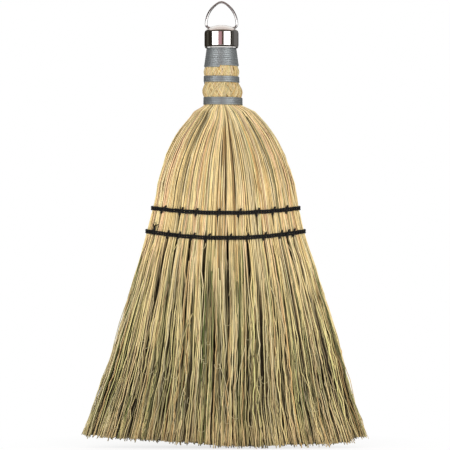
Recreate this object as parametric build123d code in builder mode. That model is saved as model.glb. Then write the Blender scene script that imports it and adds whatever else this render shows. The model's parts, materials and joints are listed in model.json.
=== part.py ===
from build123d import *
import os
from math import atan2, ceil, degrees, pi, sqrt

# A corn whisk broom standing on its trimmed tips, its front towards -Y, in millimetres.
# The origin is on the floor under the middle of the brush, +Z is up and +X is to the right.

# Brush outline at each level: height above the floor, half width, half depth
brush_length = 232.6
shoulder_height = 225.0
shoulder_half_width = 25.8
shoulder_half_depth = 14.4
chest_height = 204.0
chest_half_width = 39.6
chest_half_depth = 14.0
upper_row_height = 163.5
upper_row_half_width = 49.6
upper_row_half_depth = 11.4
lower_row_height = 147.7
lower_row_half_width = 53.8
lower_row_half_depth = 11.6
tip_half_width = 95.9
tip_half_depth = 16.4

# The sewing draws the section from a circle at the neck towards a flat pad with round ends
shoulder_flat_share = 0.3
chest_flat_share = 0.8
pad_end_share = 0.55

# Straws: layers from front to back, straws in the widest layer, and their widths
layer_count = 13
outer_layer_share = 0.924
widest_layer_straws = 29
neck_straw_width = 0.55
shoulder_straw_width = 0.9
chest_straw_width = 1.3
row_straw_width = 1.25
tip_straw_width = 2.5
straw_depth_share = 0.75
straw_root = 0.6
neck_rim = 0.65
tip_arc_rise = 8.6
standing_cut = 0.5
ragged_tips = 4.0
ragged_start_share = 0.5
wander_share = 0.3
layer_wander_share = 0.16
golden_share = 0.618034

# Corn bundles: the hurl layers cover the front and back, side corn fills the corners
hurl_share = 0.54
side_corn_share = 0.45
bundle_gap = 0.1

# Handle: bound stalks between three wire bands, leaning a little off the brush's middle
neck_offset = -1.4
handle_offset = -2.4
lower_bulge_height = 11.6
upper_bulge_height = 6.33
neck_radius = 12.5
lower_bulge_radius = 13.9
middle_pinch_radius = 11.15
upper_bulge_radius = 12.6
wrap_foot_radius = 10.6
wrap_top_radius = 9.2
flare_height = 1.6
lower_bulge_swell_share = 0.16
lower_bulge_peak_share = 0.42
lower_bulge_fall_share = 0.75
upper_bulge_swell_share = 0.3
upper_bulge_fall_share = 0.7
stalk_count = 20
stalk_crown = 0.34
stalk_flat_shares = (0.25, 0.75)
stalk_twist = 11

# Galvanised binding wire
wire_diameter = 1.0
wire_pitch = 1.42
wire_seat = 0.06
wire_sides = 4
lower_band_half_turns = 6
middle_band_half_turns = 4
upper_wrap_half_turns = 17
lower_band_start_angle = 45
wrap_start_angle = -90
band_margin = 0.8
wrap_in_cap = 1.0

# Cap: a drawn steel cup with a rolled mouth and a pressed bridge over the hanger's hinge
cap_radius = 11.65
cap_wall = 0.45
cap_height = 12.7
cap_shoulder_rise = 2.3
cap_shoulder_inset = 2.75
cap_top_round = 1.2
cap_shoulder_round = 1.6
cap_lip_round = 1.15
cap_lip_reach = 1.3
stalk_seat = 0.25
bridge_length = 15.6
bridge_wall = 0.42
bridge_foot = 5.2
bridge_end_angle = 66
hinge_rise = 1.3

# Hanger: bent wire in a pointed arch
ring_wire_diameter = 1.6
ring_clearance = 0.06
ring_half_width = 10.5
ring_rise = 17.7
ring_bend_radius = 2.6
ring_tip_radius = 2.2
ring_split = 0.3
ring_wire_sides = 10

# Black sewing twine
twine_diameter = 0.9
twine_pitch = 1.35
twine_clearance = 0.2
twine_sides = 4
samples_per_turn = 40
upper_row_sag = 3.2
lower_row_sag = 4.1
stitch_slant = 1.0
stitch_straw_room = 0.7
tail_length = 2.6
tail_lean = 0.3
upper_stitch_shares = (-0.825, -0.59, -0.36, -0.08, 0.195, 0.44, 0.66, 0.83)
lower_stitch_shares = (-0.85, -0.7, -0.567, -0.407, -0.216, 0.046, 0.297, 0.496, 0.7, 0.84)

# Heights up the handle
wire_radius = wire_diameter / 2
lower_band_base = brush_length + band_margin
lower_band_top = lower_band_base + lower_band_half_turns * wire_pitch / 2 + wire_diameter
bundle_top = lower_band_top + wire_seat
middle_band_base = lower_band_top + lower_bulge_height
middle_band_top = middle_band_base + middle_band_half_turns * wire_pitch / 2 + wire_diameter
upper_wrap_base = middle_band_top + upper_bulge_height
upper_wrap_top = upper_wrap_base + upper_wrap_half_turns * wire_pitch / 2 + wire_diameter
cap_base = upper_wrap_top - wrap_in_cap
cap_top = cap_base + cap_height
stalk_top = cap_top - cap_wall - stalk_seat
flare_radius = cap_radius - cap_wall - stalk_seat
hinge_height = cap_top + hinge_rise
ring_wire_radius = ring_wire_diameter / 2
ring_top = hinge_height + ring_rise + ring_wire_radius

# Sewn rows
twine_radius = twine_diameter / 2
twine_stand_off = row_straw_width / 2 + twine_clearance + twine_radius
stitch_stand_off = twine_diameter + twine_clearance
stitch_half_height = twine_pitch / 2 + twine_diameter + twine_clearance
stitch_room = stitch_slant / 2 + twine_radius + row_straw_width / 2 + stitch_straw_room

# The fan's edge carried on from the brush's trimmed corners to the floor
corner_fan = (tip_half_width - lower_row_half_width) / (lower_row_height - tip_arc_rise)
floor_half_width = lower_row_half_width + corner_fan * lower_row_height

straw_levels = ("neck", "shoulder", "chest", "upper_row", "lower_row", "tip")
heights = {
    "neck": brush_length + straw_root,
    "shoulder": shoulder_height,
    "chest": chest_height,
    "upper_row": upper_row_height,
    "lower_row": lower_row_height,
    "tip": 0,
}
half_widths = {
    "neck": neck_radius - neck_rim - neck_straw_width,
    "shoulder": shoulder_half_width,
    "chest": chest_half_width,
    "upper_row": upper_row_half_width,
    "lower_row": lower_row_half_width,
    "tip": floor_half_width,
}
half_depths = {
    "neck": neck_radius - neck_rim - neck_straw_width,
    "shoulder": shoulder_half_depth,
    "chest": chest_half_depth,
    "upper_row": upper_row_half_depth,
    "lower_row": lower_row_half_depth,
    "tip": tip_half_depth,
}
straw_widths = {
    "neck": neck_straw_width,
    "shoulder": shoulder_straw_width,
    "chest": chest_straw_width,
    "upper_row": row_straw_width,
    "lower_row": row_straw_width,
    "tip": tip_straw_width,
}
flat_shares = {
    "neck": 0,
    "shoulder": shoulder_flat_share,
    "chest": chest_flat_share,
    "upper_row": 1,
    "lower_row": 1,
    "tip": 1,
}
row_sags = {"upper_row": upper_row_sag, "lower_row": lower_row_sag}
stitch_shares = {"upper_row": upper_stitch_shares, "lower_row": lower_stitch_shares}


def pad_face_radius(half_width, half_depth):
    """Radius of the pad's bowed front, tangent to its round ends."""
    end_radius = half_depth * pad_end_share
    end_centre = half_width - end_radius
    return (end_centre**2 + half_depth**2 - end_radius**2) / (2 * (half_depth - end_radius))


def pad_reach(half_width, half_depth, depth):
    """Half width of the pad at one depth, on its round end or on its bowed face."""
    end_radius = half_depth * pad_end_share
    end_centre = half_width - end_radius
    face_radius = pad_face_radius(half_width, half_depth)
    face_centre = face_radius - half_depth
    turn_depth = end_radius * face_centre / (face_radius - end_radius)
    if depth < turn_depth:
        return end_centre + sqrt(end_radius**2 - depth**2)
    return sqrt(face_radius**2 - (depth + face_centre) ** 2)


def pad_depth(half_width, half_depth, across):
    """Half depth of the pad's bowed face at one place across it."""
    face_radius = pad_face_radius(half_width, half_depth)
    return sqrt(face_radius**2 - across**2) - face_radius + half_depth


def layer_reach(level, layer_share):
    """Half width of one layer of straws at a level, between round and flat sections."""
    half_width = half_widths[level]
    half_depth = half_depths[level]
    round_reach = half_width * sqrt(1 - layer_share**2)
    if flat_shares[level] == 0:
        return round_reach
    flat_reach = pad_reach(half_width, half_depth, half_depth * abs(layer_share))
    return round_reach + flat_shares[level] * (flat_reach - round_reach)


def clear_place(share, reach, gaps, room):
    """Spread straws over a layer's width, leaving a clear stretch at each gap."""
    starts = [-reach] + [gap + room for gap in gaps]
    ends = [gap - room for gap in gaps] + [reach]
    stretches = [(max(start, -reach), min(end, reach)) for start, end in zip(starts, ends)]
    stretches = [(start, end) for start, end in stretches if end > start]
    walk = share * sum(end - start for start, end in stretches)
    for start, end in stretches:
        if walk <= end - start:
            return start + walk
        walk -= end - start
    return stretches[-1][1]


def scatter(number):
    """An even, repeatable scatter between -1 and 1."""
    return 2 * (number * golden_share % 1) - 1


def straw_corners(place, width, facing):
    """A straw's three-sided section, with its ridge towards the nearer face."""
    depth = width * straw_depth_share * facing
    x, y, z = place
    return [
        (x - width / 2, y - depth / 3, z),
        (x + width / 2, y - depth / 3, z),
        (x, y + depth * 2 / 3, z),
    ]


def straw_places(layer_share, straw, straw_count, number):
    """Centre and width of one straw at each level, from its root to its trimmed tip."""
    places = []
    widths = []
    for level in straw_levels:
        reach = layer_reach(level, layer_share)
        gaps = []
        room = 0
        centre = 0
        height = heights[level]
        if level == "neck":
            gaps = [-side_corn_share * neck_radius, side_corn_share * neck_radius]
            room = neck_straw_width / 2 + bundle_gap
            centre = neck_offset
        if level in row_sags:
            gaps = [stitch * half_widths[level] for stitch in stitch_shares[level]]
            room = stitch_room
        wander = 0
        if level != "neck" and straw not in (0, straw_count - 1):
            wander = wander_share * scatter(number) / 2
        across = clear_place((straw + wander) / (straw_count - 1), reach, gaps, room)
        if level in row_sags:
            height -= row_sags[level] * (1 - (across / half_widths[level]) ** 2)
        layer_wander = 0 if level == "neck" else layer_wander_share * scatter(number * 2) / layer_count
        depth = half_depths[level] * (layer_share + layer_wander)
        places.append((centre + across, depth, height))
        widths.append(straw_widths[level])
    return trimmed(places, widths, number)


def trimmed(places, widths, number):
    """End the straw on the brush's arc of tips, or flat on the floor, by its last run."""
    last = places[-2]
    floor = places[-1]
    rise = tip_arc_rise * (floor[0] / tip_half_width) ** 2 - standing_cut
    rise += ragged_tips * max(0, scatter(number * 3) - ragged_start_share)
    kept = (last[2] - max(rise, 0)) / last[2]
    tip = tuple(start + (end - start) * kept for start, end in zip(last, floor))
    width = widths[-2] + (widths[-1] - widths[-2]) * kept
    return places[:-1] + [tip], widths[:-1] + [width]


# The bounds of each bundle inside the neck: left, right, front, back
side_cut = side_corn_share * neck_radius
hurl_cut = hurl_share * neck_radius
inner_side = side_cut - bundle_gap / 2
outer_side = side_cut + bundle_gap / 2
inner_hurl = hurl_cut - bundle_gap / 2
outer_hurl = hurl_cut + bundle_gap / 2
corn_bounds = {
    "front_hurl": (-neck_radius, neck_radius, -neck_radius, -outer_hurl),
    "back_hurl": (-neck_radius, neck_radius, outer_hurl, neck_radius),
    "left_side_corn": (-neck_radius, -outer_side, -inner_hurl, inner_hurl),
    "right_side_corn": (outer_side, neck_radius, -inner_hurl, inner_hurl),
    "inside_corn": (-inner_side, inner_side, -inner_hurl, inner_hurl),
}

straws = {name: [] for name in corn_bounds}
straw_number = 0
for layer in range(layer_count):
    layer_share = outer_layer_share * (2 * layer / (layer_count - 1) - 1)
    layer_straws = round(widest_layer_straws * sqrt(1 - layer_share**2))
    for straw in range(layer_straws):
        places, widths = straw_places(layer_share, straw, layer_straws, straw_number)
        facing = -1 if layer_share < 0 else 1
        sections = [
            Wire.make_polygon(straw_corners(place, width, facing)) for place, width in zip(places, widths)
        ]
        solid = Solid.make_loft(sections, ruled=True)
        root_x = places[0][0] - neck_offset
        root_y = places[0][1]
        for name, (left, right, front, back) in corn_bounds.items():
            if left < root_x < right and front < root_y < back:
                straws[name].append(solid)
        straw_number += 1
print("straws:", straw_number, {name: len(group) for name, group in straws.items()})

os.makedirs("parts", exist_ok=True)

for name, (left, right, front, back) in corn_bounds.items():
    with BuildPart() as corn:
        with BuildSketch(Plane.XY.offset(brush_length)):
            with Locations((neck_offset, 0)):
                Circle(neck_radius)
            with Locations((neck_offset + (left + right) / 2, (front + back) / 2)):
                Rectangle(right - left, back - front, mode=Mode.INTERSECT)
        extrude(amount=bundle_top - brush_length)
        add(straws[name])
    corn.part.label = name
    export_step(corn.part, f"parts/{name}.step")
    print(name, "solids", len(corn.part.solids()), "faces", len(corn.part.faces()))


def centre_at(height):
    """The handle's middle line, which leans from the neck to the middle band."""
    lean = (height - lower_band_top) / lower_bulge_height
    return neck_offset + (handle_offset - neck_offset) * min(max(lean, 0), 1)


def stalk_outline(radius):
    """A ring of stalks side by side, each with a flat crown between two valleys."""
    points = []
    for stalk in range(stalk_count):
        valley = Vector(radius - stalk_crown, 0)
        points.append(valley.rotate(Axis.Z, stalk * 360 / stalk_count))
        for flat_share in stalk_flat_shares:
            angle = (stalk + flat_share) * 360 / stalk_count
            points.append(Vector(radius, 0).rotate(Axis.Z, angle))
    return points


def lower_bulge(rise_share, radius):
    """A station on the lower bulge, where the stalks turn as they rise."""
    return lower_band_top + lower_bulge_height * rise_share, radius, rise_share


def upper_bulge(rise_share, radius):
    """A station on the upper bulge, where the stalks turn back."""
    return middle_band_top + upper_bulge_height * rise_share, radius, 1 - rise_share


# The handle's stalks: height, outer radius and how far the stalks have turned
stalk_stations = [
    (bundle_top, neck_radius, 0),
    lower_bulge(lower_bulge_swell_share, lower_bulge_radius - stalk_crown),
    lower_bulge(lower_bulge_peak_share, lower_bulge_radius),
    lower_bulge(lower_bulge_fall_share, lower_bulge_radius - stalk_crown * 2),
    (middle_band_base - wire_seat, middle_pinch_radius, 1),
    (middle_band_top + wire_seat, middle_pinch_radius, 1),
    upper_bulge(upper_bulge_swell_share, upper_bulge_radius),
    upper_bulge(upper_bulge_fall_share, upper_bulge_radius - stalk_crown),
    (upper_wrap_base - wire_seat, wrap_foot_radius, 0),
    (upper_wrap_top, wrap_top_radius, 0),
    (upper_wrap_top + flare_height, flare_radius, 0),
    (cap_top - cap_shoulder_rise - cap_wall - stalk_seat, flare_radius, 0),
    (stalk_top, flare_radius - cap_shoulder_inset, 0),
]

with BuildPart() as handle_stalks:
    for height, radius, turn_share in stalk_stations:
        station = Plane(origin=(centre_at(height), 0, height))
        with BuildSketch(station.rotated((0, 0, turn_share * stalk_twist))):
            with BuildLine():
                Polyline(stalk_outline(radius), close=True)
            make_face()
    loft(ruled=True)
handle_stalks.part.label = "handle_stalks"
export_step(handle_stalks.part, "parts/handle_stalks.step")


def biarc(start, start_way, end, end_way):
    """Two arcs that leave start and reach end along the given directions."""
    chord = end - start
    both = start_way + end_way
    bend = 2 * (1 - start_way.dot(end_way))
    reach = (sqrt(chord.dot(both) ** 2 + bend * chord.dot(chord)) - chord.dot(both)) / bend
    join = (start + end + (start_way - end_way) * reach) / 2
    TangentArc(start, join, tangent=start_way)
    TangentArc(join, end, tangent=(end - end_way * reach) - (start + start_way * reach))


def wound_line(points, ways):
    """One tangent line through all the points of a winding."""
    for index in range(len(points) - 1):
        biarc(points[index], ways[index], points[index + 1], ways[index + 1])


def least_gap(line, thickness, turn_length):
    """Least clear distance between two turns of a winding, measured on points."""
    count = ceil(line.length / turn_length * samples_per_turn)
    points = [line @ (step / count) for step in range(count + 1)]
    apart = ceil(turn_length / 2 / line.length * count)
    return min(
        (points[first] - points[second]).length
        for first in range(count + 1)
        for second in range(first + apart, count + 1)
    ) - thickness


def wind_wire(base, halves, foot_radius, top_radius, start_angle):
    """A wire wound up a cone from its base, with a point at each half turn."""
    centre = Vector(centre_at(base), 0, base + wire_radius)
    slope = (top_radius - foot_radius) / (halves * pi)
    points = []
    ways = []
    for half in range(halves + 1):
        radius = foot_radius + (top_radius - foot_radius) * half / halves
        out = Vector(1, 0, 0).rotate(Axis.Z, start_angle + half * 180)
        around = Vector(0, 1, 0).rotate(Axis.Z, start_angle + half * 180)
        points.append(centre + out * radius + Vector(0, 0, half * wire_pitch / 2))
        ways.append((around * radius + out * slope + Vector(0, 0, wire_pitch / (2 * pi))).normalized())
    wound_line(points, ways)


def start_plane(line):
    """The plane square to the start of a line."""
    return Plane(origin=line @ 0, z_dir=line % 0)


lower_coil_radius = neck_radius + wire_seat + wire_radius
middle_coil_radius = middle_pinch_radius + wire_seat + wire_radius
wrap_foot_coil = wrap_foot_radius + wire_seat + wire_radius
wrap_top_coil = wrap_top_radius + wire_seat + wire_radius

with BuildPart() as lower_wire_band:
    with BuildLine() as lower_band_line:
        wind_wire(
            lower_band_base,
            lower_band_half_turns,
            lower_coil_radius,
            lower_coil_radius,
            lower_band_start_angle,
        )
    with BuildSketch(start_plane(lower_band_line.wire())):
        RegularPolygon(wire_radius, wire_sides, rotation=180 / wire_sides)
    sweep(path=lower_band_line.wire())
lower_wire_band.part.label = "lower_wire_band"
export_step(lower_wire_band.part, "parts/lower_wire_band.step")

with BuildPart() as middle_wire_band:
    with BuildLine() as middle_band_line:
        wind_wire(
            middle_band_base,
            middle_band_half_turns,
            middle_coil_radius,
            middle_coil_radius,
            wrap_start_angle,
        )
    with BuildSketch(start_plane(middle_band_line.wire())):
        RegularPolygon(wire_radius, wire_sides, rotation=180 / wire_sides)
    sweep(path=middle_band_line.wire())
middle_wire_band.part.label = "middle_wire_band"
export_step(middle_wire_band.part, "parts/middle_wire_band.step")

with BuildPart() as upper_wire_wrap:
    with BuildLine() as upper_wrap_line:
        wind_wire(upper_wrap_base, upper_wrap_half_turns, wrap_foot_coil, wrap_top_coil, wrap_start_angle)
    with BuildSketch(start_plane(upper_wrap_line.wire())):
        RegularPolygon(wire_radius, wire_sides, rotation=180 / wire_sides)
    sweep(path=upper_wrap_line.wire())
upper_wire_wrap.part.label = "upper_wire_wrap"
export_step(upper_wire_wrap.part, "parts/upper_wire_wrap.step")

for name, line, radius in (
    ("lower_wire_band", lower_band_line, lower_coil_radius),
    ("middle_wire_band", middle_band_line, middle_coil_radius),
    ("upper_wire_wrap", upper_wrap_line, wrap_top_coil),
):
    print(name, "least gap", round(least_gap(line.wire(), wire_diameter, 2 * pi * radius), 3))

# The hinge line lies across the cap, and the hanger's arch is drawn in the plane above it
hinge_plane = Plane(origin=(handle_offset, 0, hinge_height), x_dir=(0, 1, 0), z_dir=(1, 0, 0))
arch_plane = Plane(origin=(handle_offset, 0, hinge_height), x_dir=(1, 0, 0), z_dir=(0, -1, 0))
cap_plane = Plane(origin=(handle_offset, 0, 0), x_dir=(1, 0, 0), z_dir=(0, -1, 0))
cap_axis = Axis((handle_offset, 0, 0), (0, 0, 1))
bore_radius = ring_wire_radius + ring_clearance
bridge_radius = bore_radius + bridge_wall

with BuildPart() as bridge:
    with BuildSketch(hinge_plane):
        Circle(bridge_radius)
        with Locations((0, -hinge_rise)):
            Rectangle(bridge_foot, cap_wall)
        make_hull()
    extrude(amount=bridge_length / 2, both=True)
    with BuildSketch(arch_plane):
        Trapezoid(bridge_length, (hinge_rise + bridge_radius) * 2, bridge_end_angle)
    extrude(amount=bridge_foot, both=True, mode=Mode.INTERSECT)

with BuildPart() as cap:
    with BuildSketch(cap_plane):
        with BuildLine():
            skin = FilletPolyline(
                (0, cap_top),
                (cap_radius - cap_shoulder_inset, cap_top),
                (cap_radius, cap_top - cap_shoulder_rise),
                (cap_radius, cap_base),
                (cap_radius - cap_lip_reach, cap_base),
                radius=(cap_top_round, cap_shoulder_round, cap_lip_round),
            )
            Polyline(
                skin @ 0,
                (0, cap_top - cap_wall),
                (cap_radius - cap_shoulder_inset - cap_wall / 2, cap_top - cap_wall),
                (cap_radius - cap_wall, cap_top - cap_shoulder_rise - cap_wall / 2),
                (cap_radius - cap_wall, cap_base + cap_lip_round),
                (cap_radius - cap_lip_reach, cap_base + cap_wall),
                skin @ 1,
            )
        make_face()
    revolve(axis=cap_axis)
    add(bridge.part)
    with BuildSketch(hinge_plane):
        Circle(bore_radius)
    extrude(amount=cap_radius, both=True, mode=Mode.SUBTRACT)
cap.part.label = "cap"
export_step(cap.part, "parts/cap.step")

# The arch's legs and its tip are arcs that meet tangent to each other
leg_run = ring_rise - ring_tip_radius - ring_bend_radius
leg_inset = ring_half_width - ring_tip_radius
leg_radius = (ring_half_width**2 + leg_run**2 - ring_tip_radius**2) / (2 * leg_inset)
leg_turn = degrees(atan2(leg_run, leg_radius - ring_half_width))
straight_run = ring_half_width - ring_bend_radius

with BuildPart() as hanger_ring:
    with BuildLine(arch_plane) as ring_line:
        right_run = Line((ring_split / 2, 0), (straight_run, 0))
        right_bend = JernArc(right_run @ 1, right_run % 1, ring_bend_radius, 90)
        right_leg = JernArc(right_bend @ 1, right_bend % 1, leg_radius, leg_turn)
        tip = JernArc(right_leg @ 1, right_leg % 1, ring_tip_radius, 2 * (90 - leg_turn))
        left_leg = JernArc(tip @ 1, tip % 1, leg_radius, leg_turn)
        left_bend = JernArc(left_leg @ 1, left_leg % 1, ring_bend_radius, 90)
        Line(left_bend @ 1, (left_bend @ 1) + (left_bend % 1) * (straight_run - ring_split / 2))
    with BuildSketch(start_plane(ring_line.wire())):
        RegularPolygon(ring_wire_radius, ring_wire_sides)
    sweep(path=ring_line.wire())
hanger_ring.part.label = "hanger_ring"
export_step(hanger_ring.part, "parts/hanger_ring.step")


def row_width(level):
    """Half width of the loop of twine at a sewn row."""
    return half_widths[level] + twine_stand_off


def row_depth(level):
    """Half depth of the loop of twine at a sewn row."""
    return half_depths[level] + twine_stand_off


def row_height(level, across):
    """The row sags in the middle and rises towards the brush's edges."""
    return heights[level] - row_sags[level] * (1 - (across / row_width(level)) ** 2)


def row_point(level, across, depth, lift):
    """A point on a sewn row, lifted from its middle line."""
    return Vector(across, depth, row_height(level, across) + lift)


def row_way(level, across, way_x, way_y, climb):
    """Direction of the twine at a place on a sewn row."""
    slope = 2 * row_sags[level] * across / row_width(level) ** 2
    return Vector(way_x, way_y, slope * way_x + climb).normalized()


def wind_twine(level):
    """Twine laid twice round the brush, stepping down from turn to turn at the left end."""
    width = row_width(level)
    depth = row_depth(level)
    end_radius = half_depths[level] * pad_end_share + twine_stand_off
    face_radius = pad_face_radius(half_widths[level], half_depths[level]) + twine_stand_off
    end_centre = width - end_radius
    out_x = end_centre / (face_radius - end_radius)
    out_y = (face_radius - depth) / (face_radius - end_radius)
    turn_x = end_centre + end_radius * out_x
    turn_y = end_radius * out_y
    step_slope = twine_pitch / (pi * end_radius)
    upper = twine_pitch / 2
    points = []
    ways = []
    for lift in (upper, -upper):
        stops = [
            (-turn_x, -turn_y, out_y, -out_x, 0),
            (0, -depth, 1, 0, 0),
            (turn_x, -turn_y, out_y, out_x, 0),
            (width, 0, 0, 1, 0),
            (turn_x, turn_y, -out_y, out_x, 0),
            (0, depth, -1, 0, 0),
            (-turn_x, turn_y, -out_y, -out_x, 0),
        ]
        for across, deep, way_x, way_y, climb in stops:
            points.append(row_point(level, across, deep, lift))
            ways.append(row_way(level, across, way_x, way_y, climb))
        if lift > 0:
            points.append(row_point(level, -width, 0, 0))
            ways.append(row_way(level, -width, 0, -1, -step_slope))
    wound_line(points, ways)


def stitch_points(level):
    """The sewing twine: through the brush, slanting up over the front band, back, and down behind."""
    points = []
    for stitch in stitch_shares[level]:
        across = stitch * half_widths[level]
        face_depth = pad_depth(half_widths[level], half_depths[level], across)
        depth = face_depth + twine_stand_off + stitch_stand_off
        low = across - stitch_slant / 2
        high = across + stitch_slant / 2
        points.append(row_point(level, low, depth, -stitch_half_height))
        points.append(row_point(level, low, -depth, -stitch_half_height))
        points.append(row_point(level, high, -depth, stitch_half_height))
        points.append(row_point(level, high, depth, stitch_half_height))
    return points


def tailed(points):
    """The first stitch comes from the twine's cut end, which stands up above the band."""
    back, low, high = points[:3]
    return [high + Vector(tail_lean, 0, tail_length), high, low, back] + points[4:]


for level, band_name, stitch_name, sewn_points in (
    ("upper_row", "upper_twine_band", "upper_stitches", stitch_points("upper_row")),
    ("lower_row", "lower_twine_band", "lower_stitches", tailed(stitch_points("lower_row"))),
):
    with BuildPart() as twine_band:
        with BuildLine() as band_line:
            wind_twine(level)
        with BuildSketch(start_plane(band_line.wire())):
            RegularPolygon(twine_radius, twine_sides)
        sweep(path=band_line.wire())
    twine_band.part.label = band_name
    export_step(twine_band.part, f"parts/{band_name}.step")
    turn_length = 4 * row_width(level)
    print(band_name, "least gap", round(least_gap(band_line.wire(), twine_diameter, turn_length), 3))
    with BuildPart() as stitches:
        with BuildLine() as sewn_line:
            Polyline(sewn_points)
        with BuildSketch(start_plane(sewn_line.wire())):
            RegularPolygon(twine_radius, twine_sides)
        sweep(path=sewn_line.wire(), transition=Transition.RIGHT)
    stitches.part.label = stitch_name
    export_step(stitches.part, f"parts/{stitch_name}.step")
    print(stitch_name, "solids", len(stitches.part.solids()), "volume", round(stitches.part.volume, 1))

print("overall height", round(ring_top, 2), "overall width", round(2 * tip_half_width + tip_straw_width, 2))
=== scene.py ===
# %% [markdown]
# # A corn whisk broom
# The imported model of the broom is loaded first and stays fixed. Its bodies, nodes and sizes are the
# frame for everything below. Straw, wire and twine are then modelled over it strand by strand,
# because a broom's look comes from thousands of thin straws and the shadows between them.

# %% Load the frame
import json
import math

import bpy
import numpy as np
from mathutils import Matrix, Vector


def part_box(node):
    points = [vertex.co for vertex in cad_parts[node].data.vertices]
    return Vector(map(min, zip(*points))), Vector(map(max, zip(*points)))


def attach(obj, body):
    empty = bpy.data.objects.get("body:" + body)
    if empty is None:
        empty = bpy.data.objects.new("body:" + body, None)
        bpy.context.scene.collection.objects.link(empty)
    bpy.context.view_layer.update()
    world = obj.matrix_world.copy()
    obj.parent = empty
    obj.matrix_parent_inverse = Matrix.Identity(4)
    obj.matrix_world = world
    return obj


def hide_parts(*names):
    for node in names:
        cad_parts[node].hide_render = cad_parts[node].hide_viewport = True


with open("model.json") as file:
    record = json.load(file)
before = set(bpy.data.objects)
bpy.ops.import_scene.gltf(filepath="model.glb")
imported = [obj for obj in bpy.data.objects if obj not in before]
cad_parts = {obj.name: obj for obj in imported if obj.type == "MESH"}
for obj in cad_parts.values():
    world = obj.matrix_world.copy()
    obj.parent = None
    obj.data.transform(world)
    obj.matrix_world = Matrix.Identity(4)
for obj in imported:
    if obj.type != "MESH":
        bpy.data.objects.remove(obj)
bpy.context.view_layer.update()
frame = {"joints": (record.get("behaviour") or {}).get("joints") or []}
MM = 0.001

# %% [markdown]
# ## The camera
# The photograph is taken straight on with a long lens, so the camera stands far back on the -Y side
# and looks along +Y at the middle of the picture. A long lens keeps the broom's sides parallel.

# %% Camera
picture_middle = Vector((0, 0, 151.9)) * MM
camera_distance = 2.0
camera_lens = 234.1

camera_place = picture_middle - Vector((0, camera_distance, 0))
bpy.ops.object.camera_add(location=camera_place, rotation=(math.pi / 2, 0, 0))
camera = bpy.context.object
camera.data.lens = camera_lens
camera.data.clip_end = 5 * camera_distance
bpy.context.scene.camera = camera
bpy.context.scene.view_settings.view_transform = "Standard"
print("camera looks along +Y from", [round(x, 3) for x in camera.location])

# %% [markdown]
# ## Shader maths as plain sums
# A material is a graph of nodes. Wrapping a socket in a small class lets a mask be written as
# `1 - mask * 0.5`, and each sum adds its own Math node. Colours go through Mix nodes, because a
# Math node would turn them grey.


# %% Signals and finishes
class Signal:
    """A node's output socket. Sums with numbers or with other signals add Math nodes."""

    def __init__(self, tree, socket):
        self.tree = tree
        self.socket = socket

    def math(self, operation, first, second):
        return add_node(self.tree, "ShaderNodeMath", {"operation": operation}, {0: first, 1: second})

    def __add__(self, other):
        return self.math("ADD", self, other)

    def __rsub__(self, other):
        return self.math("SUBTRACT", other, self)

    def __mul__(self, other):
        return self.math("MULTIPLY", self, other)

    def highest(self, other):
        return self.math("MAXIMUM", self, other)

    def show(self, output="ShaderNodeOutputMaterial"):
        """Links a shader to its tree's output."""
        self.tree.links.new(self.socket, self.tree.nodes.new(output).inputs["Surface"])


def add_node(tree, kind, settings=None, sockets=None, output=0):
    """One node of any kind: its settings first, then the values or links of its sockets."""
    node = tree.nodes.new(kind)
    for name, value in (settings or {}).items():
        setattr(node, name, value)
    for name, value in (sockets or {}).items():
        if isinstance(value, Signal):
            tree.links.new(value.socket, node.inputs[name])
        else:
            node.inputs[name].default_value = value
    return Signal(tree, node.outputs[output])


class Finish:
    """A material being mixed: patterns first, then one Principled shader."""

    def __init__(self, name):
        self.material = bpy.data.materials.new(name)
        self.material.use_nodes = True
        self.tree = self.material.node_tree
        self.tree.nodes.clear()

    def node(self, kind, settings=None, sockets=None, output=0):
        return add_node(self.tree, kind, settings, sockets, output)

    def place(self, scale):
        """Object coordinates, stretched by a scale for each axis."""
        coordinates = self.node("ShaderNodeTexCoord", output="Object")
        return self.node("ShaderNodeMapping", sockets={"Vector": coordinates, "Scale": scale})

    def noise(self, scale, detail=2.0):
        """Cloudy noise, finer where the scale is larger."""
        sockets = {"Vector": self.place(scale), "Scale": 1.0, "Detail": detail}
        return self.node("ShaderNodeTexNoise", sockets=sockets)

    def ramp(self, factor, *stops):
        """A colour ramp with two stops, each a place and a colour."""
        made = self.node("ShaderNodeValToRGB", sockets={"Fac": factor})
        for element, (place, colour) in zip(made.socket.node.color_ramp.elements, stops):
            element.position = place
            element.color = colour
        return made

    def lit(self, colour, light):
        """A colour times a light. A Mix node's colour sockets are 6 and 7, and its colour output 2."""
        grey = self.node("ShaderNodeCombineColor", sockets={0: light, 1: light, 2: light})
        settings = {"data_type": "RGBA", "blend_type": "MULTIPLY", "clamp_factor": True}
        return self.node("ShaderNodeMix", settings, {0: 1.0, 6: colour, 7: grey}, output=2)

    def bump(self, height, distance, strength):
        sockets = {"Height": height, "Distance": distance, "Strength": strength}
        return self.node("ShaderNodeBump", sockets=sockets)

    def surface(self, **sockets):
        named = {name.replace("_", " "): value for name, value in sockets.items()}
        self.node("ShaderNodeBsdfPrincipled", sockets=named).show()
        return self.material


def linear(*colours):
    """Colours read off as 0 to 255, turned into the linear light that shaders use."""
    shares = np.array(colours, float) / 255
    return np.where(shares <= 0.04045, shares / 12.92, ((shares + 0.055) / 1.055) ** 2.4)


def rgba(red, green, blue):
    return (*linear((red, green, blue))[0], 1.0)


# %% [markdown]
# ## A white studio
# The background is white by its own colour and not by more light on the broom: the world and the
# floor show white to camera rays and to mirror rays. What lights the straw is a soft even world and
# two wide lamps in front. Bright metal needs something to mirror, so dark flags and a few pale or
# tinted cards stand around the broom, as in a photographer's studio. Only mirror rays meet them.

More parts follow.
